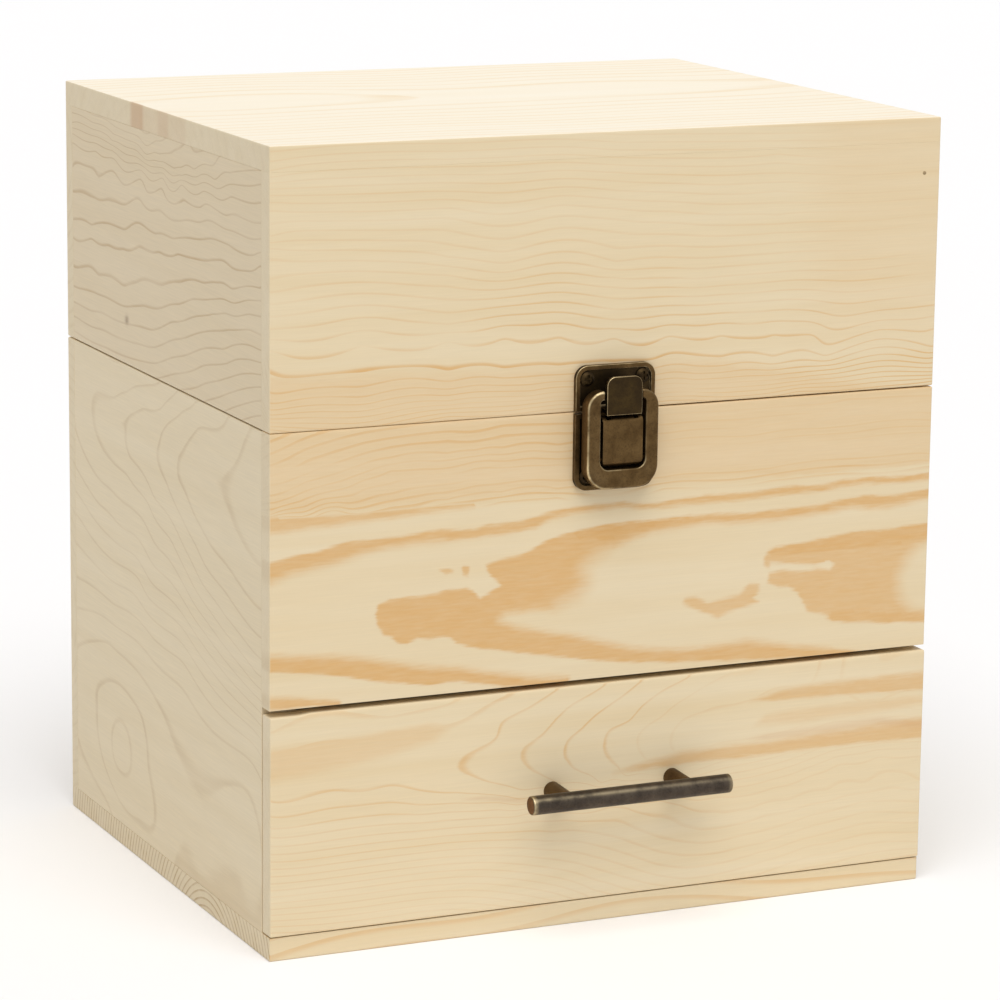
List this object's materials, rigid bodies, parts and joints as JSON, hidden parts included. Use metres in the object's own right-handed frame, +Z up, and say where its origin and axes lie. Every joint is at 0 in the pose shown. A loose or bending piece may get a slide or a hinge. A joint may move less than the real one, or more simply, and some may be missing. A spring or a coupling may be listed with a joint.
{
  "type": "essential oil storage box",
  "caption": "Wooden storage box for small oil bottles with a hinged lid, toggle latch, celled shelf, lift-out tray and a bottom drawer with a bar handle.",
  "frame": {"origin": "centre of the underside of the box", "axes": "+X to the right seen from the front, +Y to the back, +Z up"},
  "size_m": [0.245, 0.225, 0.27],
  "materials": {
    "pine": "sanded, unvarnished",
    "plywood": "sanded, unvarnished",
    "bronze": "antique bronze plating, satin",
    "steel": "zinc plated"
  },
  "bodies": {
    "body": {"bottom_board": "pine", "back_panel": "pine", "front_panel": "pine", "shelf": "plywood", "body_brads": "steel", "left_side": "pine", "right_side": "pine", "tray_ledge_left": "pine", "tray_ledge_right": "pine", "long_slat_1": "plywood", "long_slat_2": "plywood", "long_slat_3": "plywood", "long_slat_4": "plywood", "cross_slat_1": "plywood", "cross_slat_2": "plywood", "cross_slat_3": "plywood", "cross_slat_4": "plywood", "cross_slat_5": "plywood", "latch_base": "bronze", "latch_base_screws": "bronze", "latch_flap_pin": "bronze", "hinge_body_screws": "bronze", "left_hinge_body_leaf": "bronze", "right_hinge_body_leaf": "bronze", "left_hinge_pin": "bronze", "right_hinge_pin": "bronze"},
    "lid": {"lid_top": "pine", "lid_front": "pine", "lid_back": "pine", "lid_brads": "steel", "lid_left_side": "pine", "lid_right_side": "pine", "catch_plate": "bronze", "catch_screws": "bronze", "hinge_lid_screws": "bronze", "left_hinge_lid_leaf": "bronze", "right_hinge_lid_leaf": "bronze"},
    "tray": {"tray_bottom": "plywood", "tray_front": "pine", "tray_back": "pine", "tray_divider": "plywood", "tray_left_end": "pine", "tray_right_end": "pine"},
    "drawer": {"drawer_front": "pine", "drawer_back": "pine", "drawer_bottom": "plywood", "drawer_left_side": "pine", "drawer_right_side": "pine", "handle_bar": "bronze", "handle_screws": "steel", "handle_left_post": "bronze", "handle_right_post": "bronze"},
    "latch_flap": {"latch_flap": "bronze"},
    "latch_ring": {"latch_ring": "bronze", "latch_ring_pin": "bronze"}
  },
  "joints": [
    {"name": "lid_hinge", "type": "hinge", "parent": "body", "child": "lid", "pos_m": [0, 0.1033, 0.177], "axis": [-1, 0, 0], "range_deg": [0, 100]},
    {"name": "drawer_slide", "type": "slide", "parent": "body", "child": "drawer", "axis": [0, -1, 0], "range_m": [0, 0.15]},
    {"name": "tray_lift", "type": "slide", "parent": "body", "child": "tray", "axis": [0, 0, 1], "range_m": [0, 0.041]},
    {"name": "latch_flap_swing", "type": "hinge", "parent": "body", "child": "latch_flap", "pos_m": [0, -0.1063, 0.1738], "axis": [-1, 0, 0], "range_deg": [0, 100]},
    {"name": "latch_ring_swing", "type": "hinge", "parent": "latch_flap", "child": "latch_ring", "pos_m": [0, -0.1063, 0.1615], "axis": [-1, 0, 0], "range_deg": [-140, 0]}
  ],
  "couplings": [
    {"joint": "latch_ring_swing", "follows": "latch_flap_swing", "ratio": -1.4}
  ]
}
